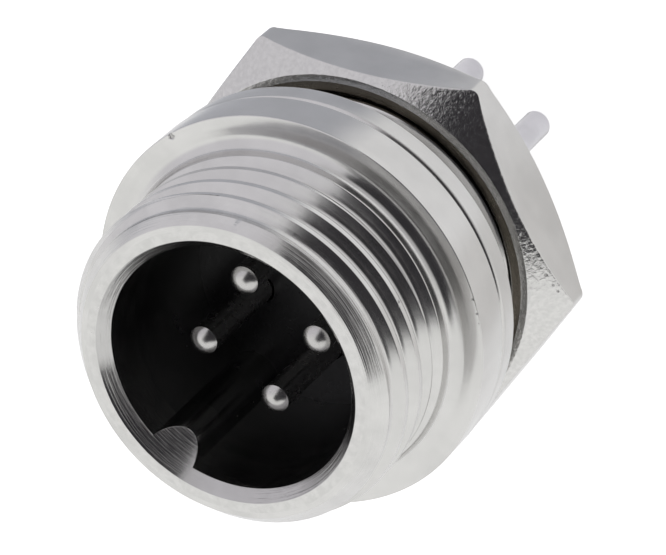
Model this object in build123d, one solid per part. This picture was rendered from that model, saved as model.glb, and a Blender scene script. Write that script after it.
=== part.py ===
"""Four-pin microphone panel plug with a threaded shell, a washer and a hexagon nut, in millimetres.

The mating end points up +Z and the origin lies on the axis at the flange's rear face, which seats on
the panel. The key is at -Y.
"""
from build123d import *
from math import cos, radians, sqrt, tan
import os

# Screw thread, M12 x 1 and right-handed, cut on the front barrel and left plain on the rear one
thread_d = 12.0
pitch = 1.0
thread_depth = 0.55
flank_angle = 30.0
tool_overshoot = 0.05
neck_undercut = 0.01

# Where the groove starts, measured at its bottom, and how many half turns it runs from there
groove_start_z = 2.438
groove_start_angle = 30.0
groove_half_turns = 8

# Shell lengths along the axis
front_length = 4.5
flange_thickness = 1.7
rear_length = 6.1

# Shell, front barrel
barrel_wall = 1.04
mouth_chamfer_width = 0.35
mouth_chamfer_length = 0.40
rim_width = 0.55
nose_chamfer_length = 0.88
bore_depth = 6.5
foot_fillet = 0.4

# Shell, flange, which stands out past the nut's flats
flange_overhang = 0.15
flange_edge_bevel = 0.1
flange_rear_bevel = 0.22

# Shell, rear barrel
rear_neck_width = 0.6
rear_chamfer = 0.5
rear_wall = 0.59

# Key rib in the bore
key_radius = 0.92
key_height = 0.65

# Insulator, two discs that trap the contact collars
insulator_clearance = 0.02
front_disc_thickness = 2.7
rear_disc_thickness = 2.1
rear_boss_length = 1.5
boss_ring_gap = 0.65
boss_bevel = 0.25

# Contacts
contact_spacing = 3.06
pin_d = 1.0
pin_depth = 2.28
pin_edge_bevel = 0.1
dimple_d = 0.5
dimple_depth = 0.19
seat_step = 0.05
collar_step = 0.35
collar_length = 1.0
contact_clearance = 0.01
terminal_d = 1.04
terminal_length = 7.7
cup_wall = 0.16
cup_depth = 2.6
cup_window_length = 2.0
cup_window_offset = 0.08

# Snap ring behind the insulator
ring_wire = 0.5
ring_groove_depth = 0.22
ring_gap_angle = 40.0
ring_groove_clearance = 0.02

# Washer
washer_inset = 0.05
washer_clearance = 0.15
washer_thickness = 0.9
washer_front_bevel = 0.2

# Nut
nut_wall = 1.0
nut_clearance = 0.06
nut_thickness = 2.6
nut_face_inset = 0.25
nut_chamfer_angle = 36.0
nut_gap = 1.78
nut_turn = -2.0

# Heights along the axis, worked out from the sizes above
face_z = flange_thickness + front_length
bore_floor_z = face_z - bore_depth
rear_z = -rear_length
disc_joint_z = bore_floor_z - front_disc_thickness
disc_rear_z = disc_joint_z - rear_disc_thickness
washer_rear_z = -washer_thickness
nut_front_z = washer_rear_z - nut_gap
nut_rear_z = nut_front_z - nut_thickness
pin_tip_z = face_z - pin_depth
terminal_end_z = rear_z - terminal_length

# Radii worked out from the sizes above
thread_r = thread_d / 2
root_r = thread_r - thread_depth
neck_r = root_r - neck_undercut
bore_r = neck_r - barrel_wall
mouth_r = bore_r + mouth_chamfer_width
face_outer_r = mouth_r + rim_width
rear_bore_r = neck_r - rear_wall
disc_r = rear_bore_r - insulator_clearance
nut_flat_r = thread_r + nut_wall
nut_face_r = nut_flat_r - nut_face_inset
flange_r = nut_flat_r + flange_overhang
washer_r = flange_r - washer_inset
washer_hole_r = thread_r + washer_clearance
ring_r = rear_bore_r + ring_groove_depth - ring_groove_clearance
ring_inner_r = ring_r - ring_wire
boss_r = ring_inner_r - boss_ring_gap
key_tip_r = bore_r - key_height
pin_r = pin_d / 2
seat_r = pin_r + seat_step
collar_r = pin_r + collar_step
terminal_r = terminal_d / 2
contact_places = [
    (-contact_spacing / 2, contact_spacing / 2),
    (-contact_spacing / 2, -contact_spacing / 2),
    (contact_spacing / 2, contact_spacing / 2),
    (contact_spacing / 2, -contact_spacing / 2),
]


def disc(radius, z_low, z_high):
    """A plain cylinder on the axis between two heights."""
    tall = Cylinder(radius, z_high - z_low, align=(Align.CENTER, Align.CENTER, Align.MIN))
    return Pos(0, 0, z_low) * tall


def turned(points):
    """A solid of revolution about Z from a closed outline of (radius, height) points."""
    outline = make_face(Polyline([(r, 0, z) for r, z in points], close=True))
    return revolve(outline, Axis.Z)


def half_turn_bar(z, angle):
    """Half a turn of the thread tool: a three-sided bar whose inner edge runs along the groove's bottom."""
    outer_r = thread_r + tool_overshoot
    half_width = (outer_r - root_r) * tan(radians(flank_angle))
    rails = []
    for r, shift in [(root_r, 0), (outer_r, half_width), (outer_r, -half_width)]:
        helix = Edge.make_helix(pitch, pitch / 2, r, center=(0, 0, z + shift))
        rails.append(helix.edge())
    faces = [Face.make_surface_from_curves(rails[i], rails[(i + 1) % 3]) for i in range(3)]
    for end in (0, 1):
        faces.append(Face(Wire.make_polygon([rail @ end for rail in rails])))
    return Rot(0, 0, angle) * Solid(Shell(faces))


def thread_tool():
    """The groove's bars end to end, from the flange's foot up past the nose."""
    bars = []
    for i in range(groove_half_turns):
        bars.append(half_turn_bar(groove_start_z + i * pitch / 2, groove_start_angle + i * 180))
    return bars


def shell_blank():
    """The shell's turned outside and inside."""
    slant = foot_fillet * (1 - sqrt(0.5))
    nose = [
        (mouth_r, face_z),
        (face_outer_r, face_z),
        (thread_r, face_z - nose_chamfer_length),
        (thread_r, flange_thickness + foot_fillet),
        (thread_r + slant, flange_thickness + slant),
        (thread_r + foot_fillet, flange_thickness),
    ]
    flange = [
        (flange_r - flange_edge_bevel, flange_thickness),
        (flange_r, flange_thickness - flange_edge_bevel),
        (flange_r, flange_rear_bevel),
        (flange_r - flange_rear_bevel, 0),
        (neck_r, 0),
    ]
    rear = [
        (neck_r, -rear_neck_width),
        (thread_r, -rear_neck_width),
        (thread_r, rear_z + rear_chamfer),
        (thread_r - rear_chamfer, rear_z),
        (rear_bore_r, rear_z),
        (rear_bore_r, bore_floor_z),
        (bore_r, bore_floor_z),
        (bore_r, face_z - mouth_chamfer_length),
    ]
    return turned(nose + flange + rear)


def key_rib():
    """The half-round key that stands out of the bore's wall at -Y."""
    bar = Pos(0, -key_tip_r - key_radius, 0) * disc(key_radius, bore_floor_z, face_z)
    return bar & disc(mouth_r, bore_floor_z, face_z)


def mouth_cone():
    """The lead-in chamfer's cone, carried on inwards so that it cuts the key's front too."""
    slope = mouth_chamfer_width / mouth_chamfer_length
    low_r = key_tip_r
    low_z = face_z - (mouth_r - low_r) / slope
    return turned([(0, low_z), (low_r, low_z), (mouth_r, face_z), (0, face_z)])


def ring_groove():
    """The groove in the rear bore that holds the snap ring."""
    top = disc_rear_z + ring_groove_clearance / 2
    low = top - ring_wire - ring_groove_clearance
    return disc(rear_bore_r + ring_groove_depth, low, top)


def shell():
    """Barrel, thread, flange, rear barrel and key, all of one piece."""
    body = shell_blank() + key_rib() - mouth_cone() - ring_groove()
    for bar in thread_tool():
        body -= bar
    return body


def contact_holes(z_low, z_high, radius):
    """One straight hole for each contact."""
    return [Pos(x, y, 0) * disc(radius, z_low, z_high) for x, y in contact_places]


def front_insulator():
    """The front disc, with a recess for each contact's collar."""
    body = disc(disc_r, disc_joint_z, bore_floor_z)
    body -= contact_holes(disc_joint_z, bore_floor_z, seat_r + contact_clearance)
    return body - contact_holes(disc_joint_z, disc_joint_z + collar_length, collar_r + contact_clearance)


def rear_insulator():
    """The rear disc, with a boss that stands out through the snap ring."""
    boss_end_z = disc_rear_z - rear_boss_length
    body = turned([
        (0, disc_joint_z),
        (disc_r, disc_joint_z),
        (disc_r, disc_rear_z),
        (boss_r, disc_rear_z),
        (boss_r, boss_end_z + boss_bevel),
        (boss_r - boss_bevel, boss_end_z),
        (0, boss_end_z),
    ])
    return body - contact_holes(boss_end_z, disc_joint_z, terminal_r + contact_clearance)


def contact(x, y):
    """A turned contact: dimpled pin, seat, collar and solder cup, with the cup's window towards the key."""
    body = turned([
        (0, pin_tip_z - dimple_depth),
        (dimple_d / 2, pin_tip_z),
        (pin_r - pin_edge_bevel, pin_tip_z),
        (pin_r, pin_tip_z - pin_edge_bevel),
        (pin_r, bore_floor_z),
        (seat_r, bore_floor_z),
        (seat_r, disc_joint_z + collar_length),
        (collar_r, disc_joint_z + collar_length),
        (collar_r, disc_joint_z),
        (terminal_r, disc_joint_z),
        (terminal_r, terminal_end_z),
        (0, terminal_end_z),
    ])
    body -= disc(terminal_r - cup_wall, terminal_end_z, terminal_end_z + cup_depth)
    window = Box(terminal_d, terminal_d, cup_window_length, align=(Align.CENTER, Align.MAX, Align.MIN))
    body -= Pos(0, -cup_window_offset, terminal_end_z) * window
    return Pos(x, y, 0) * body


def snap_ring():
    """An open ring of flat wire that snaps into the shell's groove."""
    ring = disc(ring_r, disc_rear_z - ring_wire, disc_rear_z)
    ring -= disc(ring_inner_r, disc_rear_z - ring_wire, disc_rear_z)
    half_gap = ring_r * tan(radians(ring_gap_angle / 2))
    wedge = Polyline((0, 0), (half_gap, ring_r), (-half_gap, ring_r), close=True)
    tall = extrude(make_face(wedge), ring_wire)
    return ring - Pos(0, 0, disc_rear_z - ring_wire) * tall


def washer():
    """The plain washer behind the flange, its rim bevelled as the punch leaves it."""
    return turned([
        (washer_hole_r, 0),
        (washer_r - washer_front_bevel, 0),
        (washer_r, -washer_front_bevel),
        (washer_r, washer_rear_z),
        (washer_hole_r, washer_rear_z),
    ])


def nut_blank():
    """The hexagon with its corners turned off at both ends."""
    corner_r = nut_flat_r / cos(radians(30))
    drop = (corner_r - nut_face_r) * tan(radians(nut_chamfer_angle))
    hexagon = extrude(RegularPolygon(corner_r, 6, rotation=30), nut_thickness)
    hexagon = Pos(0, 0, nut_rear_z) * Rot(0, 0, nut_turn) * hexagon
    envelope = turned([
        (0, nut_rear_z),
        (nut_face_r, nut_rear_z),
        (corner_r, nut_rear_z + drop),
        (corner_r, nut_front_z - drop),
        (nut_face_r, nut_front_z),
        (0, nut_front_z),
    ])
    return hexagon & envelope


def nut():
    """The hexagon nut, free to turn on the shell's rear barrel."""
    return nut_blank() - disc(thread_r + nut_clearance, nut_rear_z, nut_front_z)


def build():
    """Makes every piece and writes one file for each."""
    pieces = {
        "shell": shell(),
        "front_insulator": front_insulator(),
        "rear_insulator": rear_insulator(),
        "snap_ring": snap_ring(),
        "washer": washer(),
        "nut": nut(),
    }
    for number, (x, y) in enumerate(contact_places, start=1):
        pieces[f"contact_{number}"] = contact(x, y)
    os.makedirs("parts", exist_ok=True)
    for name, piece in pieces.items():
        export_step(piece, f"parts/{name}.step")


build()
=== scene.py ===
"""Looks of the four-pin microphone panel plug: cut threads, turned nickel faces, silver pins, black plastic.

Sizes are in millimetres and angles in degrees round +Z until a mesh is made, which is in metres.
"""
from collections import namedtuple
from math import acos, asin, atan2, cos, hypot, inf, pi, radians, sin, sqrt, tan

import bmesh
import bpy
from mathutils import Matrix, Vector


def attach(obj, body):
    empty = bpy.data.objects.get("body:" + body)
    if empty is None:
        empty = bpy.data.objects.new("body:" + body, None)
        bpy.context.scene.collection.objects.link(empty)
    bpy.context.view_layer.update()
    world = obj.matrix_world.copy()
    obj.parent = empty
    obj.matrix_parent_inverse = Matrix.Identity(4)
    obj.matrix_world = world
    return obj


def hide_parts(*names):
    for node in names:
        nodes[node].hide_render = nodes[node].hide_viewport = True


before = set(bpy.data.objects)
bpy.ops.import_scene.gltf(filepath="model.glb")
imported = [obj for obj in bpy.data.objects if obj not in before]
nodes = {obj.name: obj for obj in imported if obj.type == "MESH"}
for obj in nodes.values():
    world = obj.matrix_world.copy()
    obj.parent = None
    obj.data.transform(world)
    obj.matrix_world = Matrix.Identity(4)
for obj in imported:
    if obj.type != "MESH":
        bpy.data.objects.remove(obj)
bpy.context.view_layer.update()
MM = 0.001

# Meshes: where each turned body's seam lies, the turn between its sections, and what counts as one point
seam_angle = -250
shell_step, nut_step, washer_step, contact_step = 1.5, 1.5, 1.0, 5.0
least_turn, weld = 0.05, 3e-8
sharp_angle = 28

# Arcs: lengths too small to count, how near to straight a corner is left, and an arc's most share of a run
tiny, least = 1e-6, 1e-9
near_straight, arc_share = 0.02, 0.48

# Rows of points this near an edge, or at these shares of a flank, keep the shading beside it flat
support, wall_support, wide_support = 0.06, 0.04, 0.15
flank_rows = 0.15, 0.85

# Shell
face_z, nose_z, flange_z, shelf_z = 6.2, 5.32, 1.7, -0.3
rear_neck_z, rear_bevel_z, rear_z = -0.6, -5.6, -6.1
face_r, mouth_r, bore_r, rear_bore_r, rear_edge_r = 5.3, 4.75, 4.4, 4.85, 5.3
thread_r, neck_r, flange_r, flange_ledge_r = 6.0, 5.45, 7.15, 6.7
rim_width, flange_bevel, flange_bevel_z, flange_row_z = 0.2, 0.2, 0.18, 0.9
nose_slope = 0.7 / 0.88
mouth_slope = 0.40 / 0.35
foot_round, foot_steps = 0.5, 12
key_centre, key_round, key_angle, key_reach = 4.67, 0.92, -90.0, 11.2
key_step, key_rows, key_foot = 0.5, 26, 11.13
bore_rows, bore_row_z = (0.6, 1.6), 1.0
ring_groove_r, ring_groove_low, ring_groove_high = 5.07, -5.61, -5.09
nose_look_z = 5.3

# Thread, M12 x 1, the lowest point of a groove at 81 degrees lies at phase_z
pitch, phase_z, phase_angle = 1.0, 5.58, 81.0
relief_z = 2.7
front_grooves, rear_grooves, nut_grooves = range(-1, 3), range(5, 14), range(7, 13)
crest_reach, lower_edge, plain_edge = 0.15, 0.055, 0.08
# A supported crest's upper edge: least radius, what it gains, from which height on and over how much of it
edge_least, edge_gain, edge_from_r, edge_over = 0.04, 0.08, 5.8, 0.15

# Washer
washer_hole_r, washer_row_r, washer_r, washer_z = 6.15, 6.6, 7.1, -0.9

# Nut
nut_flat_r, nut_face_r, nut_row_r, nut_sink_r = 7.0, 6.75, 6.5, 6.2
nut_front_z, nut_high_row_z, nut_low_row_z, nut_rear_z = -2.68, -3.6, -4.4, -5.28
nut_slope = tan(radians(36.0))
nut_turn, nut_corner_round = -2.0, 0.4
nut_corner_step, nut_corner_rows = 0.2, 12
nut_minor_r, nut_major_r = 5.71, 6.06
nut_crest_half, nut_flank_end = 0.10, 0.302
slack = 0.001

# Contacts, each pin with a domed tip
contact_place = 1.53
pin_r, pin_tip_z, pin_round, pin_steps = 0.5, 3.92, 0.68, 12
pin_row_drop, pin_row_z, pin_foot_z, pin_look_z = 0.6, 2.0, -1.2, -1.4
seat_r, seat_z = 0.55, -1.3
collar_r, collar_high, collar_low = 0.85, -2.0, -3.0
terminal_r, terminal_row_z, terminal_z = 0.52, -8.0, -13.8
cup_r, cup_z, cup_point_z = 0.36, -11.2, -11.05
window_half, window_gap, window_depth, window_low, window_high = 0.7, 0.08, 1.2, -14.2, -11.8

# Rounded edges as (radius, steps)
mouth_edge, wall_edge, nose_edge, rear_bore_edge = (0.04, 3), (0.03, 2), (0.05, 3), (0.08, 2)
flange_back_edge, flange_side_edge, flange_front_edge = (0.05, 2), (0.1, 3), (0.035, 4)
nut_face_edge, nut_rear_edge, nut_front_edge = (0.06, 2), (0.1, 3), (0.2, 5)
washer_hole_edge, washer_rear_edge, washer_front_edge = (0.05, 2), (0.14, 4), (0.3, 7)
collar_edge, terminal_edge, cup_edge = (0.04, 1), (0.05, 3), (0.03, 2)

# A thread's groove: radius and half width of its root, a whole flank's run along the axis, the root's
# rounding, the most of a whole flank that its upper and its lower one take, the steps of its arcs, and
# whether its crests have support rows
Thread = namedtuple("Thread", (
    "root_r", "root_half", "flank_run", "root_round",
    "top_share", "bottom_share", "top_steps", "steps", "fine",
))
front_thread = Thread(
    root_r=5.59, root_half=0.16, flank_run=0.237, root_round=0.27,
    top_share=0.985, bottom_share=0.95, top_steps=5, steps=4, fine=True,
)
rear_thread = Thread(
    root_r=5.5, root_half=0.031, flank_run=0.289, root_round=0.05,
    top_share=1.0, bottom_share=1.0, top_steps=3, steps=2, fine=False,
)


def arc_points(before, corner, after, radius, steps):
    """The corner between two straight runs as steps + 1 points on an arc.

    Where there is no room for an arc, the points all lie on the corner.
    """
    ax, ay = before[0] - corner[0], before[1] - corner[1]
    bx, by = after[0] - corner[0], after[1] - corner[1]
    la, lb = hypot(ax, ay), hypot(bx, by)
    if la < tiny or lb < tiny:
        return [corner] * (steps + 1)
    ax, ay, bx, by = ax / la, ay / la, bx / lb, by / lb
    inside = acos(max(-1.0, min(1.0, ax * bx + ay * by)))
    if inside > pi - near_straight or inside < near_straight:
        return [corner] * (steps + 1)
    reach = min(radius / tan(inside / 2), arc_share * la, arc_share * lb)
    r = reach * tan(inside / 2)
    mx, my = ax + bx, ay + by
    lm = hypot(mx, my)
    far = r / sin(inside / 2)
    cx, cy = corner[0] + mx / lm * far, corner[1] + my / lm * far
    start = atan2(corner[1] + ay * reach - cy, corner[0] + ax * reach - cx)
    end = atan2(corner[1] + by * reach - cy, corner[0] + bx * reach - cx)
    turn = (end - start + pi) % (2 * pi) - pi
    out = []
    for i in range(steps + 1):
        a = start + turn * i / steps
        out.append((cx + r * cos(a), cy + r * sin(a)))
    return out


def rounded(corners):
    """A run of corners as plain (r, z) points; a corner given as (r, z, edge) becomes that edge's arc."""
    out = []
    for i, corner in enumerate(corners):
        if len(corner) == 2:
            out.append(corner)
            continue
        before, after = corners[i - 1], corners[(i + 1) % len(corners)]
        out.extend(arc_points(before[:2], corner[:2], after[:2], *corner[2]))
    return out


def groove_z(angle, index):
    """Height of groove number index at this angle; the thread is right-handed."""
    return phase_z + (angle - phase_angle) / 360.0 * pitch - index * pitch


class Outline:
    """A barrel's outside before its thread is cut: the lowest of some straight lines r = a + b z."""

    def __init__(self, lines, low, high, thread):
        self.lines, self.low, self.high, self.thread = lines, low, high, thread
        self.low_root, self.high_root = low, high
        for a, b in lines:
            if b < 0:
                self.high_root = min(self.high_root, (thread.root_r - a) / b)
            if b > 0:
                self.low_root = max(self.low_root, (thread.root_r - a) / b)

    def r(self, z):
        return min(a + b * z for a, b in self.lines)

    def kept(self, z):
        """A root's end, moved to where a root can lie."""
        return min(max(z, self.low_root), self.high_root)

    def flank_end(self, z, way, t):
        """Where a flank from the root at height z comes out of the barrel, or meets the next at t."""
        depth = thread_r - self.thread.root_r
        for a, b in self.lines:
            slope = depth - b * way * self.thread.flank_run
            if slope > least:
                t = min(t, (a + b * z - self.thread.root_r) / slope)
        t = max(t, 0.0)
        return self.thread.root_r + depth * t, z + way * self.thread.flank_run * t


def between(a, b):
    """Two points on a flank, near its ends, which keep its shading flat."""
    return [(a[0] + (b[0] - a[0]) * t, a[1] + (b[1] - a[1]) * t) for t in flank_rows]


def cut_grooves(outline, middles):
    """Each groove as its upper edge, the two ends of its root and its lower edge, from the highest down."""
    thread = outline.thread
    bounds = [inf] + [(a + b) / 2 for a, b in zip(middles, middles[1:])] + [-inf]
    roots = []
    for z, above, below in zip(middles, bounds, bounds[1:]):
        high = outline.kept(min(z + thread.root_half, above))
        low = outline.kept(max(z - thread.root_half, below))
        roots.append((high, low))
    grooves = []
    for i, (high, low) in enumerate(roots):
        up = (roots[i - 1][1] - high) / 2 / thread.flank_run if i else 1.0
        down = (low - roots[i + 1][0]) / 2 / thread.flank_run if i + 1 < len(roots) else 1.0
        top = outline.flank_end(high, 1, min(up, thread.top_share))
        bottom = outline.flank_end(low, -1, min(down, thread.bottom_share))
        grooves.append((top, (thread.root_r, high), (thread.root_r, low), bottom))
    return grooves


def threaded(outline, angle, numbers, corner_z, relief=None):
    """A threaded barrel's points from its high end down to its low end, the same number at every angle.

    Its outline has a corner at corner_z. A relief is the height of a turned groove in which the thread ends.
    """
    middles = [groove_z(angle, i) for i in numbers]
    if relief is not None:
        middles = [max(z, relief) for z in middles] + [relief]
    thread = outline.thread
    grooves = cut_grooves(outline, middles)
    out = []
    for i, (top, high, low, bottom) in enumerate(grooves):
        above = grooves[i - 1][3][1] if i else outline.high
        below = grooves[i + 1][0][1] if i + 1 < len(grooves) else outline.low
        if i:
            ends = grooves[i - 1][3][0], top[0]
            if above > corner_z > top[1]:
                middle = min(outline.r(corner_z), max(ends)), corner_z
            else:
                z = (above + top[1]) / 2
                middle = min(outline.r(z), sum(ends) / 2), z
            out += (between(out[-1], middle) if thread.fine else []) + [middle]
        up = min(top[1] + crest_reach, max(above, top[1]))
        down = max(bottom[1] - crest_reach, min(below, bottom[1]))
        upper_edge = plain_edge
        if thread.fine:
            upper_edge = edge_least + edge_gain * max(0.0, min(1.0, (top[0] - edge_from_r) / edge_over))
        crest = arc_points((outline.r(up), up), top, high, upper_edge, thread.top_steps)
        out += (between(out[-1], crest[0]) if thread.fine and i else []) + crest
        upper = arc_points(top, high, low, thread.root_round, thread.steps)
        lower = arc_points(high, low, bottom, thread.root_round, thread.steps)
        out += between(out[-1], upper[0]) + upper + lower
        crest = arc_points(low, bottom, (outline.r(down), down), lower_edge, thread.steps)
        out += between(lower[-1], crest[0]) + crest
    return out


def clipped(points, low, high):
    """Points that run downwards, with all past either height moved to where the run crosses it."""
    def at(z):
        for (r0, z0), (r1, z1) in zip(points, points[1:]):
            if z0 >= z >= z1 and z0 - z1 > least:
                return r0 + (r1 - r0) * (z0 - z) / (z0 - z1)
        return points[0][0] if z > points[0][1] else points[-1][0]

    r_low, r_high = at(low), at(high)
    out = []
    for r, z in points:
        if z < low:
            out.append((r_low, low))
        elif z > high:
            out.append((r_high, high))
        else:
            out.append((r, z))
    return out


foot_z = flange_z + foot_round
nose_line = (face_r + face_z * nose_slope, -nose_slope)
front_barrel = Outline([(thread_r, 0), nose_line], foot_z, face_z, front_thread)
rear_barrel = Outline([(thread_r, 0), (thread_r - rear_bevel_z, 1.0)], rear_z, rear_neck_z, rear_thread)


def bore_wall(angle):
    """The bore's radius at this angle, less where the key stands in."""
    off = radians((angle - key_angle + 180) % 360 - 180)
    root = key_round ** 2 - (key_centre * sin(off)) ** 2
    if abs(off) > radians(key_reach) or root <= 0:
        return bore_r
    return min(bore_r, key_centre * cos(off) - sqrt(root))


def shell_loop(angle):
    """The shell's section at one angle as (zone, points) runs, anticlockwise from the rim's inner edge."""
    wall = bore_wall(angle)
    top_z = face_z - (mouth_r - wall) * mouth_slope
    chamfer_rows = (mouth_r - support, bore_r + support, wall + wall_support)
    mouth = rounded([
        (face_r - rim_width, face_z), (mouth_r, face_z, mouth_edge),
        *((r, face_z - (mouth_r - r) * mouth_slope) for r in chamfer_rows),
        (wall, top_z, wall_edge), (wall, top_z - bore_rows[0]),
    ])
    bore = [(wall, top_z - bore_rows[1]), (wall, bore_row_z), (wall, shelf_z)]
    inner = rounded([
        (wall, shelf_z), (rear_bore_r, shelf_z), (rear_bore_r, ring_groove_high),
        (ring_groove_r, ring_groove_high), (ring_groove_r, ring_groove_low), (rear_bore_r, ring_groove_low),
        (rear_bore_r, rear_z, rear_bore_edge), (rear_edge_r, rear_z),
    ])
    rear = clipped(threaded(rear_barrel, angle, rear_grooves, rear_bevel_z), rear_z, rear_neck_z)
    flange = rounded([
        (neck_r, rear_neck_z), (neck_r, 0), (flange_r - flange_bevel, 0, flange_back_edge),
        (flange_r, flange_bevel_z, flange_side_edge), (flange_r, flange_row_z),
        (flange_r, flange_z, flange_front_edge), (flange_ledge_r, flange_z),
    ])
    for i in range(foot_steps + 1):
        t = pi / 2 * i / foot_steps
        flange.append((thread_r + foot_round * (1 - sin(t)), flange_z + foot_round * (1 - cos(t))))
    front = clipped(threaded(front_barrel, angle, front_grooves, nose_z, relief_z), foot_z, face_z)
    nose = rounded([front[0], (face_r, face_z, nose_edge), (face_r - rim_width, face_z)])
    return [
        ("rim", mouth[:2]), ("mouth", mouth[2:]), ("bore", bore), ("plain", inner), ("plain", rear[::-1]),
        ("plain", flange), ("front", front[::-1]), ("nose", nose[1:]),
    ]


def loop_mesh(name, section, angles, materials, offset=(0, 0)):
    """A closed body from one closed loop of points at each angle, joined to the next with quads."""
    verts, faces, zones = [], [], []
    rows = None
    for number, angle in enumerate(angles):
        loop = []
        for zone, points in section(angle):
            loop += [("nose" if zone == "front" and p[1] > nose_look_z else zone, p) for p in points]
        if rows is None:
            rows = len(loop)
        assert len(loop) == rows, (name, angle, len(loop), rows)
        c, s = cos(radians(angle)), sin(radians(angle))
        verts += [((r * c + offset[0]) * MM, (r * s + offset[1]) * MM, z * MM) for _, (r, z) in loop]
        if number:
            a, b = (number - 1) * rows, number * rows
            for i in range(rows):
                j = (i + 1) % rows
                faces.append((a + i, b + i, b + j, a + j))
                zones.append(loop[i][0])
    mesh = bpy.data.meshes.new(name)
    mesh.from_pydata(verts, [], faces)
    names = list(materials)
    for key in names:
        mesh.materials.append(materials[key])
    mesh.polygons.foreach_set("material_index", [names.index(z) if z in names else 0 for z in zones])
    bm = bmesh.new()
    bm.from_mesh(mesh)
    bmesh.ops.remove_doubles(bm, verts=bm.verts, dist=weld)
    bmesh.ops.dissolve_degenerate(bm, edges=bm.edges, dist=weld)
    bmesh.ops.recalc_face_normals(bm, faces=bm.faces)
    bm.to_mesh(mesh)
    bm.free()
    smooth(mesh)
    piece = bpy.data.objects.new(name, mesh)
    bpy.context.scene.collection.objects.link(piece)
    return piece


def smooth(mesh):
    """Smooth shading, but not over sharp edges."""
    mesh.shade_smooth()
    mesh.set_sharp_from_angle(angle=radians(sharp_angle))


def turn_angles(start, step, extra=()):
    """Angles for one full turn, first and last the same place, with more where a shape needs them."""
    angles = [start + step * i for i in range(round(360 / step))]
    for a in extra:
        angles.append(start + (a - start) % 360)
    angles = sorted(angles)
    out = [angles[0]]
    for a in angles[1:]:
        if a - out[-1] > least_turn:
            out.append(a)
    return out + [start + 360]


def nut_side(angle):
    """The hexagon's radius at this angle, with its corners a little rounded."""
    off = radians((angle - nut_turn) % 60 - 30)
    centre = (nut_flat_r - nut_corner_round) / cos(pi / 6)
    tangent = atan2(nut_corner_round / 2, centre + nut_corner_round * cos(pi / 6))
    if abs(off) < tangent:
        return centre * cos(off) + sqrt(nut_corner_round ** 2 - (centre * sin(off)) ** 2)
    return nut_flat_r / cos(pi / 6 - abs(off))


def nut_bore(angle):
    """The nut's internal thread from its front down, with a countersink at both ends."""
    points = []
    for i in nut_grooves:
        z = groove_z(angle, i)
        points += [
            (nut_major_r, z + nut_flank_end), (nut_minor_r, z + nut_crest_half),
            (nut_minor_r, z - nut_crest_half), (nut_major_r, z - nut_flank_end), (nut_major_r, z - pitch / 2),
        ]
    bore = []
    for r, z in clipped(points, nut_rear_z, nut_front_z):
        limit = max(nut_minor_r, nut_sink_r - (nut_front_z - z), nut_sink_r - (z - nut_rear_z))
        bore.append((max(r, limit), z))
    return bore


def nut_loop(angle):
    """The nut's section at one angle: rear face, cone, flat, cone, front face and the internal thread."""
    side = nut_side(angle)
    drop = (side - nut_face_r) * nut_slope
    outer = rounded([
        (nut_sink_r, nut_rear_z), (nut_row_r, nut_rear_z), (nut_face_r, nut_rear_z, nut_face_edge),
        (side, nut_rear_z + drop, nut_rear_edge), (side, nut_low_row_z), (side, nut_high_row_z),
        (side, nut_front_z - drop, nut_front_edge),
        (side - wide_support, nut_front_z - drop + wide_support * nut_slope),
        (nut_face_r + support, nut_front_z - support * nut_slope), (nut_face_r, nut_front_z, nut_face_edge),
        (nut_row_r, nut_front_z), (nut_sink_r, nut_front_z),
    ])
    faces = []
    for r, z in outer:
        zone = "plain"
        # The inner part of the front face, like the thread below, takes the seat look, which is painted shade
        if z > nut_front_z - drop - slack:
            zone = "seat" if r < nut_face_r - support else "corner"
        faces.append((zone, [(r, z)]))
    return faces + [("seat", nut_bore(angle))]


def washer_loop(angle):
    """The washer's section, its rim rounded over by the punch."""
    return [("plain", rounded([
        (washer_hole_r, washer_z, washer_hole_edge), (washer_row_r, washer_z),
        (washer_r, washer_z, washer_rear_edge), (washer_r, washer_z / 2), (washer_r, 0, washer_front_edge),
        (washer_row_r, 0), (washer_hole_r, 0, washer_hole_edge), (washer_hole_r, washer_z / 2),
    ]))]


def contact_loop(angle):
    """A contact's section: domed tip, pin, seat, collar, terminal and the solder cup's bore."""
    centre = pin_tip_z - pin_round
    edge = asin(pin_r / pin_round)
    dome = []
    for i in range(pin_steps + 1):
        t = edge * i / pin_steps
        dome.append((pin_round * sin(t), centre + pin_round * cos(t)))
    line = rounded([
        (pin_r, pin_tip_z - pin_row_drop), (pin_r, pin_row_z), (pin_r, pin_foot_z),
        (seat_r, seat_z), (seat_r, collar_high), (collar_r, collar_high, collar_edge),
        (collar_r, collar_low, collar_edge), (terminal_r, collar_low), (terminal_r, terminal_row_z),
        (terminal_r, terminal_z, terminal_edge), (cup_r, terminal_z, cup_edge),
        (cup_r, cup_z), (0, cup_point_z),
    ])
    # Above pin_look_z a contact takes the darker silver, which is painted shade
    return [("pin" if z > pin_look_z else "plain", [(r, z)]) for r, z in dome + line]


def cut_window(piece, x, y):
    """Opens the solder cup on the key's side."""
    mesh = bpy.data.meshes.new("window")
    half, front = window_half * MM, (y - window_gap) * MM
    low, high = window_low * MM, window_high * MM
    sides = front - window_depth * MM, front
    corners = [(sx * half + x * MM, sy, sz) for sz in (low, high) for sy in sides for sx in (-1, 1)]
    ends = [(0, 2, 3, 1), (4, 5, 7, 6)]
    mesh.from_pydata(corners, [], ends + [(0, 1, 5, 4), (2, 6, 7, 3), (0, 4, 6, 2), (1, 3, 7, 5)])
    cutter = bpy.data.objects.new("window", mesh)
    bpy.context.scene.collection.objects.link(cutter)
    cut = piece.modifiers.new("window", "BOOLEAN")
    cut.operation, cut.object, cut.solver = "DIFFERENCE", cutter, "EXACT"
    graph = bpy.context.evaluated_depsgraph_get()
    made = bpy.data.meshes.new_from_object(piece.evaluated_get(graph))
    old = piece.data
    piece.modifiers.clear()
    piece.data = made
    bpy.data.meshes.remove(old)
    bpy.data.objects.remove(cutter)
    bpy.data.meshes.remove(mesh)
    smooth(made)


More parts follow.
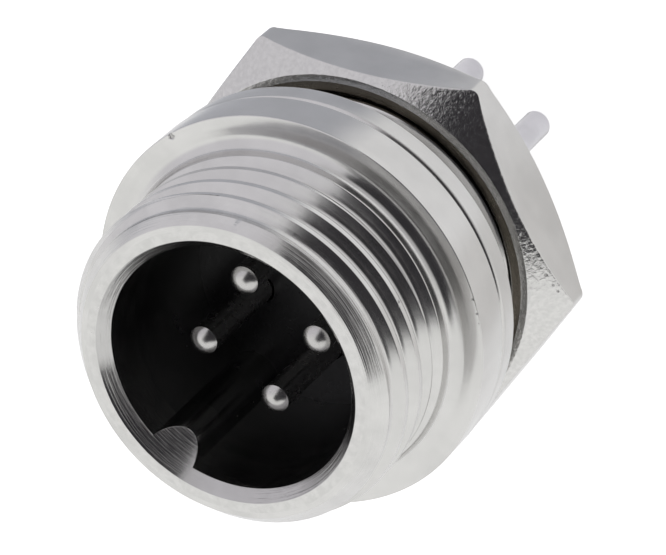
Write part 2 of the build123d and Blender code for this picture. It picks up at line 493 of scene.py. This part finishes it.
class Nodes:
    """Short hand for building one material's or the world's nodes."""

    def __init__(self, tree):
        self.tree = tree
        tree.nodes.clear()

    def add(self, kind, **sockets):
        """A new node; a name with a leading underscore sets a property, any other a socket."""
        node = self.tree.nodes.new(kind)
        for key, value in sockets.items():
            if key.startswith("_"):
                setattr(node, key[1:], value)
            else:
                self.put(node, key.replace("_", " "), value)
        return node

    def put(self, node, key, value):
        """Sets a socket, given by name or number, or links another node's socket to it."""
        socket = node.inputs[int(key)] if key.isdigit() else node.inputs[key]
        if isinstance(value, bpy.types.NodeSocket):
            self.tree.links.new(value, socket)
        else:
            socket.default_value = value

    def pair(self, kind, operation, a, b):
        """A node that works on two values or vectors."""
        node = self.add(kind, _operation=operation)
        self.put(node, "0", a)
        self.put(node, "1", b)
        return node

    def math(self, operation, a, b):
        return self.pair("ShaderNodeMath", operation, a, b).outputs[0]

    def vector(self, operation, a, b):
        return self.pair("ShaderNodeVectorMath", operation, a, b)

    def blend(self, factor, a, b):
        """Colour a turning into colour b."""
        node = self.tree.nodes.new("ShaderNodeMix")
        node.data_type = "RGBA"
        self.put(node, "0", factor)
        self.put(node, "6", a)
        self.put(node, "7", b)
        return node.outputs[2]

    def range(self, value, low, high, to_low=0.0, to_high=1.0):
        """A value's run from low to high as a soft run from to_low to to_high."""
        node = self.tree.nodes.new("ShaderNodeMapRange")
        node.interpolation_type = "SMOOTHSTEP"
        names = "Value", "From Min", "From Max", "To Min", "To Max"
        for key, v in zip(names, (value, low, high, to_low, to_high)):
            self.put(node, key, v)
        return node.outputs[0]

    def noise(self, vector, scale, detail=2.0, rough=0.5):
        node = self.add("ShaderNodeTexNoise", Vector=vector, Scale=scale, Detail=detail, Roughness=rough)
        return node.outputs[0]

    def bump(self, height, depth, normal=None):
        """A bump of this depth in mm over another one."""
        node = self.add("ShaderNodeBump", Strength=1.0, Distance=depth * MM, Height=height)
        if normal is not None:
            self.put(node, "Normal", normal)
        return node.outputs[0]

    def finish(self, kind, shader):
        self.put(self.add(kind), "Surface", shader.outputs[0])


# Noise: the part of its values that is spread from 0 to 1
noise_low, noise_high = 0.3, 0.7
# Metal: how turning marks stretch round the axis, its grain's scale and height as shares of its mottling's,
# and how dark the mottling gets
mark_stretch, grain_scale, grain_height, blot_shade = 1.2, 6.0, 0.12, 0.9
# Nicks: the share that is a flat bottom, its depth, the noise on it and how far it takes on its colour
dent_core, dent_depth, dent_scale, dent_high, dent_tone = 0.35, -0.05, 9000.0, 0.6, 0.4
dent_colour = (0.2, 0.19, 0.18, 1.0)
# Plastic: how much wider its unevenness is than its grain, its paler tone, its depth and its roughness
plastic_wide, plastic_pale, plastic_depth = 12.0, 1.4, 0.004
plastic_smoother, plastic_rougher = 0.05, 0.08


def material(name):
    made = bpy.data.materials.new(name)
    made.use_nodes = True
    return made, Nodes(made.node_tree)


def shade(colour, share):
    """A colour made darker or lighter."""
    return tuple(c * share for c in colour[:3]) + (1.0,)


def turned_vector(n, where, across, along):
    """A place as its angle times along, and its radius and height in mm, both times across."""
    split = n.add("ShaderNodeSeparateXYZ", Vector=where)
    x, y, z = split.outputs[0], split.outputs[1], split.outputs[2]
    angle = n.math("ARCTAN2", y, x)
    radius = n.math("SQRT", n.math("ADD", n.math("MULTIPLY", x, x), n.math("MULTIPLY", y, y)), 0.0)
    join = n.add("ShaderNodeCombineXYZ")
    n.put(join, "0", n.math("MULTIPLY", angle, along))
    n.put(join, "1", n.math("MULTIPLY", radius, across / MM))
    n.put(join, "2", n.math("MULTIPLY", z, across / MM))
    return join.outputs[0]


def dent(n, where, spot):
    """A nick as 1 in its middle and 0 past its radius; spot is (radius, angle, height, size)."""
    r, angle, z, size = spot
    place = Vector((r * cos(radians(angle)), r * sin(radians(angle)), z)) * MM
    away = n.vector("DISTANCE", where, place).outputs["Value"]
    return n.range(away, dent_core * size * MM, size * MM, 1.0, 0.0)


def metal(name, colour, rough, marks, blots, dents=()):
    """Plated metal: turning marks round the axis, faint mottling, and roughness that follows both.

    rough is its least and its greatest roughness; marks and blots are each (scale of the noise, height).
    """
    made, n = material(name)
    where = n.add("ShaderNodeTexCoord").outputs["Object"]
    turned = turned_vector(n, where, marks[0], mark_stretch)
    streaks = n.noise(turned, 1.0, detail=3.0, rough=0.6)
    mottle = n.noise(where, blots[0], detail=3.0, rough=0.6)
    grain = n.noise(where, blots[0] * grain_scale, detail=2.0, rough=0.6)
    base = n.blend(n.range(mottle, noise_low, noise_high), shade(colour, blot_shade), colour)
    both = n.math("ADD", n.math("MULTIPLY", streaks, 0.5), n.math("MULTIPLY", mottle, 0.5))
    roughness = n.range(both, noise_low, noise_high, *rough)
    normal = n.bump(streaks, marks[1])
    normal = n.bump(mottle, blots[1], normal)
    normal = n.bump(grain, blots[1] * grain_height, normal)
    if dents:
        hurt = dent(n, where, dents[0])
        for spot in dents[1:]:
            hurt = n.math("MAXIMUM", hurt, dent(n, where, spot))
        worn = n.math("MULTIPLY", hurt, n.range(n.noise(where, dent_scale), noise_low, dent_high))
        normal = n.bump(worn, dent_depth, normal)
        base = n.blend(n.math("MULTIPLY", worn, dent_tone), base, dent_colour)
    shader = n.add(
        "ShaderNodeBsdfPrincipled", Base_Color=base, Metallic=1.0, Roughness=roughness, Normal=normal,
    )
    n.finish("ShaderNodeOutputMaterial", shader)
    return made


def plastic(name, colour, roughness, grain):
    """Moulded plastic with a fine grain and a faint unevenness."""
    made, n = material(name)
    where = n.add("ShaderNodeTexCoord").outputs["Object"]
    pores = n.noise(where, grain, detail=3.0, rough=0.6)
    wide = n.noise(where, grain / plastic_wide)
    base = n.blend(n.range(wide, noise_low, noise_high), colour, shade(colour, plastic_pale))
    rough = n.range(pores, noise_low, noise_high, roughness - plastic_smoother, roughness + plastic_rougher)
    normal = n.bump(pores, plastic_depth)
    shader = n.add("ShaderNodeBsdfPrincipled", Base_Color=base, Roughness=rough, Normal=normal)
    n.finish("ShaderNodeOutputMaterial", shader)
    return made


nickel_colour = (0.69, 0.685, 0.675, 1.0)
shell_dents = [
    (7.1, 41.5, 1.66, 0.05), (7.1, 44.4, 1.66, 0.07), (7.08, 48.5, 1.68, 0.06),
    (7.05, 157.6, 1.68, 0.16), (7.05, 221.7, 1.68, 0.14), (7.1, 80.0, 0.05, 0.12), (7.1, 82.0, 0.02, 0.16),
    (5.96, 59.6, 4.05, 0.07), (5.88, 59.1, 3.92, 0.05), (5.8, 58.6, 3.78, 0.05), (6.0, 58.2, 4.16, 0.06),
    (5.99, 106.5, 2.9, 0.06), (5.99, 111.4, 2.75, 0.05), (5.99, 124.0, 2.85, 0.07),
]
nut_dents = [
    (6.84, 50.5, -2.75, 0.05), (6.91, 46.6, -2.8, 0.06), (7.0, 43.0, -2.86, 0.07), (7.14, 39.6, -2.96, 0.06),
    (7.28, 37.3, -3.06, 0.08), (7.46, 34.1, -3.19, 0.06), (7.59, 32.2, -3.29, 0.06),
]
nickel = metal(
    "nickel", nickel_colour, rough=(0.14, 0.24), marks=(3.0, 0.002), blots=(500.0, 0.006), dents=shell_dents,
)
nickel_rim = metal("nickel_rim", nickel_colour, rough=(0.18, 0.28), marks=(3.0, 0.002), blots=(2600.0, 0.028))
# A darker copy of the nickel on the mouth's chamfer: painted shade where the shell turns into the bore
nickel_mouth_painted_shade = metal(
    "nickel_mouth_painted_shade", (0.56, 0.555, 0.55, 1.0), rough=(0.14, 0.22), marks=(16.0, 0.012), blots=(900.0, 0.004),
)
nickel_nose = metal(
    "nickel_nose", nickel_colour, rough=(0.14, 0.24), marks=(14.0, 0.014), blots=(900.0, 0.006),
)
# A much darker copy of the nickel on the bore's wall: painted shade in the recess
nickel_bore_painted_shade = metal(
    "nickel_bore_painted_shade", (0.4, 0.4, 0.4, 1.0), rough=(0.2, 0.28), marks=(3.0, 0.0008), blots=(700.0, 0.001),
)
nickel_ring = metal(
    "nickel_ring", nickel_colour, rough=(0.14, 0.26), marks=(3.0, 0.003), blots=(450.0, 0.009),
    dents=nut_dents,
)
nickel_corner = metal(
    "nickel_corner", nickel_colour, rough=(0.12, 0.2), marks=(3.0, 0.002), blots=(6000.0, 0.018),
    dents=nut_dents,
)
# A dark brown copy of the nickel on the inner part of the nut's front face and its internal thread: painted
# shade in the gap between the nut and the washer and inside the nut
nickel_seat_painted_shade = metal(
    "nickel_seat_painted_shade", (0.2, 0.18, 0.15, 1.0), rough=(0.18, 0.3), marks=(6.0, 0.003), blots=(900.0, 0.006),
)
# A darker copy of the contact silver on the pins inside the shell: painted shade in the bore
pin_silver_painted_shade = metal(
    "pin_silver_painted_shade", (0.6, 0.59, 0.58, 1.0), rough=(0.2, 0.3), marks=(4.0, 0.0006), blots=(1800.0, 0.001),
)
silver = metal(
    "contact_silver", (0.76, 0.75, 0.79, 1.0), rough=(0.10, 0.18), marks=(5.0, 0.003), blots=(900.0, 0.006),
)
spring = metal(
    "spring_steel", (0.45, 0.44, 0.43, 1.0), rough=(0.22, 0.34), marks=(4.0, 0.004), blots=(900.0, 0.004),
)
black = plastic("insulator", (0.012, 0.012, 0.013, 1.0), roughness=0.32, grain=9000.0)

key_angles = [key_angle + key_step * i for i in range(-key_rows, key_rows + 1)]
key_angles += [key_angle - key_foot, key_angle + key_foot]
shell = loop_mesh(
    "plated_shell", shell_loop, turn_angles(seam_angle, shell_step, key_angles),
    {"plain": nickel, "rim": nickel_rim, "mouth": nickel_mouth_painted_shade, "bore": nickel_bore_painted_shade, "nose": nickel_nose},
)
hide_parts("shell")
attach(shell, "shell")

corner_rows = range(-nut_corner_rows, nut_corner_rows + 1)
corner_angles = [nut_turn + 30 + 60 * i + nut_corner_step * d for i in range(6) for d in corner_rows]
nut = loop_mesh(
    "hexagon_nut", nut_loop, turn_angles(seam_angle, nut_step, corner_angles),
    {"plain": nickel_ring, "corner": nickel_corner, "seat": nickel_seat_painted_shade},
)
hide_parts("nut")
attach(nut, "nut")

washer = loop_mesh("plain_washer", washer_loop, turn_angles(seam_angle, washer_step), {"plain": nickel_ring})
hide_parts("washer")
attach(washer, "washer")

contact_places = [(x, y) for x in (-contact_place, contact_place) for y in (contact_place, -contact_place)]
for number, (x, y) in enumerate(contact_places, start=1):
    looks = {"plain": silver, "pin": pin_silver_painted_shade}
    pin = loop_mesh(f"solder_contact_{number}", contact_loop, turn_angles(0, contact_step), looks, (x, y))
    cut_window(pin, x, y)
    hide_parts(f"contact_{number}")
    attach(pin, "shell")

for name, look in (("front_insulator", black), ("rear_insulator", black), ("snap_ring", spring)):
    for slot in nodes[name].material_slots:
        slot.material = look

# Surroundings: the azimuth near which the camera stands, and colours with the two ends of their blends
view_azimuth = 81
white = (1.0, 1.0, 1.0, 1.0)
room_colour = (1.0, 1.0, 0.99, 1.0)
side_azimuth, side_elevation, side_blend, side_colour = 165, 20, (0.5, 0.8), (0.78, 0.765, 0.8, 1.0)
viewer_blend, viewer_colour = (0.55, 0.9), (0.6, 0.59, 0.6, 1.0)

# The dark thing's edges, as (along, across, up) and the two ends of the blend; it lies past one of the two
# edges on its right, one of the two on its left, its lower one and its far one
dark_right = (((0.826, 0.5385, 0.1637), -0.09, -0.03), ((0.482, 0.788, 0.3835), -0.03, 0.03))
dark_left = (((0.45, -0.884, 0.124), -0.03, 0.03), ((0.2607, -0.9428, 0.2074), -0.03, 0.03))
dark_low = ((0, 0, 1), 0.2, 0.42)
dark_far = ((0.6225, 0, -0.7826), -0.97, -0.9)
dark_tone = ((0, 0, 1), 0.38, 0.47)
dark_low_colour, dark_high_colour = (0.25, 0.245, 0.24, 1.0), (0.04, 0.038, 0.042, 1.0)

# Floor: its half width, its painted shadow and painted warm tone on two sides, from where on a reflection
# shows that painted shade, and its glow
floor_half, floor_white = 400, 0.82
# The painted shadow of the part and the painted warm tone, both seen only in the metal's reflections
painted_shadow_azimuth, painted_shadow_blend, painted_shadow_colour = 161, (0.6, 0.86), (0.54, 0.55, 0.59, 1.0)
painted_warm_azimuth, painted_warm_blend, painted_warm_colour = 30, (0.88, 0.98), (0.84, 0.83, 0.82, 1.0)
shade_near, shade_far = 8, 12
camera_glow, glossy_glow, clear_glow = 0.75, 0.45, 0.2


def direction(azimuth, elevation):
    a, e = radians(azimuth), radians(elevation)
    return Vector((cos(e) * cos(a), cos(e) * sin(a), sin(e)))


def facing(n, where, way, low, high):
    """0 to 1 as the part of a direction along way goes from low to high."""
    return n.range(n.vector("DOT_PRODUCT", where, way).outputs["Value"], low, high)


def slanted(along, across, up):
    """A direction given along the viewer's azimuth, across it to the left and up."""
    return direction(view_azimuth, 0) * along + direction(view_azimuth + 90, 0) * across + Vector((0, 0, up))


def surroundings():
    """A pale room, fixed in the world, with the dark thing that stood over the part on the camera's side."""
    world = bpy.data.worlds.new("room")
    bpy.context.scene.world = world
    world.use_nodes = True
    n = Nodes(world.node_tree)
    where = n.add("ShaderNodeTexCoord").outputs["Generated"]

    def past(edge):
        way, low, high = edge
        return facing(n, where, slanted(*way), low, high)

    side = facing(n, where, direction(side_azimuth, side_elevation), *side_blend)
    colour = n.blend(side, room_colour, side_colour)
    colour = n.blend(facing(n, where, slanted(1, 0, 0), *viewer_blend), colour, viewer_colour)
    right = n.math("MAXIMUM", past(dark_right[0]), past(dark_right[1]))
    left = n.math("MAXIMUM", past(dark_left[0]), past(dark_left[1]))
    dark = n.math("MULTIPLY", right, left)
    dark = n.math("MULTIPLY", dark, past(dark_low))
    dark = n.math("MULTIPLY", dark, past(dark_far))
    colour = n.blend(dark, colour, n.blend(past(dark_tone), dark_low_colour, dark_high_colour))
    path = n.add("ShaderNodeLightPath")
    seen = n.blend(path.outputs["Is Camera Ray"], colour, white)
    n.finish("ShaderNodeOutputWorld", n.add("ShaderNodeBackground", Color=seen, Strength=1.0))


def floor():
    """A pale floor under the terminals. In reflections only, it carries a painted shadow of the part, greyer
    on the side away from the window, and a painted warm tone on another side, as the metal shows them.
    """
    size, z = floor_half * MM, terminal_z * MM
    mesh = bpy.data.meshes.new("floor")
    corners = [(-size, -size, z), (size, -size, z), (size, size, z), (-size, size, z)]
    mesh.from_pydata(corners, [], [(0, 1, 2, 3)])
    made, n = material("floor")
    path = n.add("ShaderNodeLightPath")
    camera, glossy, clear = (path.outputs[f"Is {kind} Ray"] for kind in ("Camera", "Glossy", "Transmission"))
    place = n.add("ShaderNodeNewGeometry").outputs["Position"]
    flat = n.vector("MULTIPLY", place, Vector((1, 1, 0))).outputs[0]
    way = n.add("ShaderNodeVectorMath", _operation="NORMALIZE")
    n.put(way, "0", flat)
    # Painted shadow and painted warm tone, which only glossy rays see, and only away from the part
    tone = n.blend(facing(n, way.outputs[0], direction(painted_shadow_azimuth, 0), *painted_shadow_blend), white, painted_shadow_colour)
    tone = n.blend(facing(n, way.outputs[0], direction(painted_warm_azimuth, 0), *painted_warm_blend), tone, painted_warm_colour)
    reach = n.add("ShaderNodeVectorMath", _operation="LENGTH")
    n.put(reach, "0", flat)
    far = n.range(reach.outputs["Value"], shade_near * MM, shade_far * MM)
    tone = n.blend(n.math("MULTIPLY", glossy, far), white, tone)
    diffuse = n.add("ShaderNodeBsdfDiffuse", Color=n.blend(floor_white, (0, 0, 0, 1), tone))
    lift = n.math("ADD", n.math("MULTIPLY", camera, camera_glow), n.math("MULTIPLY", glossy, glossy_glow))
    lift = n.math("ADD", lift, n.math("MULTIPLY", clear, clear_glow))
    glow = n.add("ShaderNodeEmission", Color=tone, Strength=lift)
    both = n.add("ShaderNodeAddShader")
    n.put(both, "0", diffuse.outputs[0])
    n.put(both, "1", glow.outputs[0])
    n.finish("ShaderNodeOutputMaterial", both)
    mesh.materials.append(made)
    plane = bpy.data.objects.new("floor", mesh)
    bpy.context.scene.collection.objects.link(plane)


# The photograph's camera as fitted: the picture's size and the focal length in pixels, the axis' tilt and
# its turn in the picture as angles in radians, the mouth's centre in the picture and its distance in units
# of the mouth's radius, and the turn about the axis that puts the key at key_angle
picture_width, picture_height, focal = 666, 555, 4002.05
axis_tilt, axis_turn = 0.6725, 0.7643
mouth_u, mouth_v, mouth_distance, fit_unit = 223.757, 374.129, 27.2796, 4.74
key_turn = 44.2
sensor_width, clip_start = 36.0, 0.01


def photo_camera():
    """The photograph's camera, fitted to the circles in it."""
    n = Vector((-sin(axis_tilt) * cos(axis_turn), -sin(axis_tilt) * sin(axis_turn), cos(axis_tilt)))
    e1 = Vector((0, 1, 0)).cross(n).normalized()
    e2 = n.cross(e1)
    c = Vector((
        (mouth_u - picture_width / 2) * mouth_distance / focal,
        -(mouth_v - picture_height / 2) * mouth_distance / focal,
        -mouth_distance,
    ))
    spin = Matrix.Rotation(radians(key_turn), 3, "Z")
    right = spin @ Vector((e1.x, e2.x, n.x))
    up = spin @ Vector((e1.y, e2.y, n.y))
    back = spin @ Vector((e1.z, e2.z, n.z))
    place = spin @ Vector((-c.dot(e1), -c.dot(e2), -c.dot(n))) * fit_unit * MM + Vector((0, 0, face_z * MM))
    data = bpy.data.cameras.new("camera")
    data.sensor_fit, data.sensor_width = "HORIZONTAL", sensor_width
    data.lens = focal * sensor_width / picture_width
    data.clip_start = clip_start
    camera = bpy.data.objects.new("camera", data)
    camera.matrix_world = Matrix((
        (right.x, up.x, back.x, place.x),
        (right.y, up.y, back.y, place.y),
        (right.z, up.z, back.z, place.z),
        (0, 0, 0, 1),
    ))
    bpy.context.scene.collection.objects.link(camera)
    bpy.context.scene.camera = camera


surroundings()
floor()
photo_camera()
bpy.context.scene.view_settings.view_transform = "Standard"
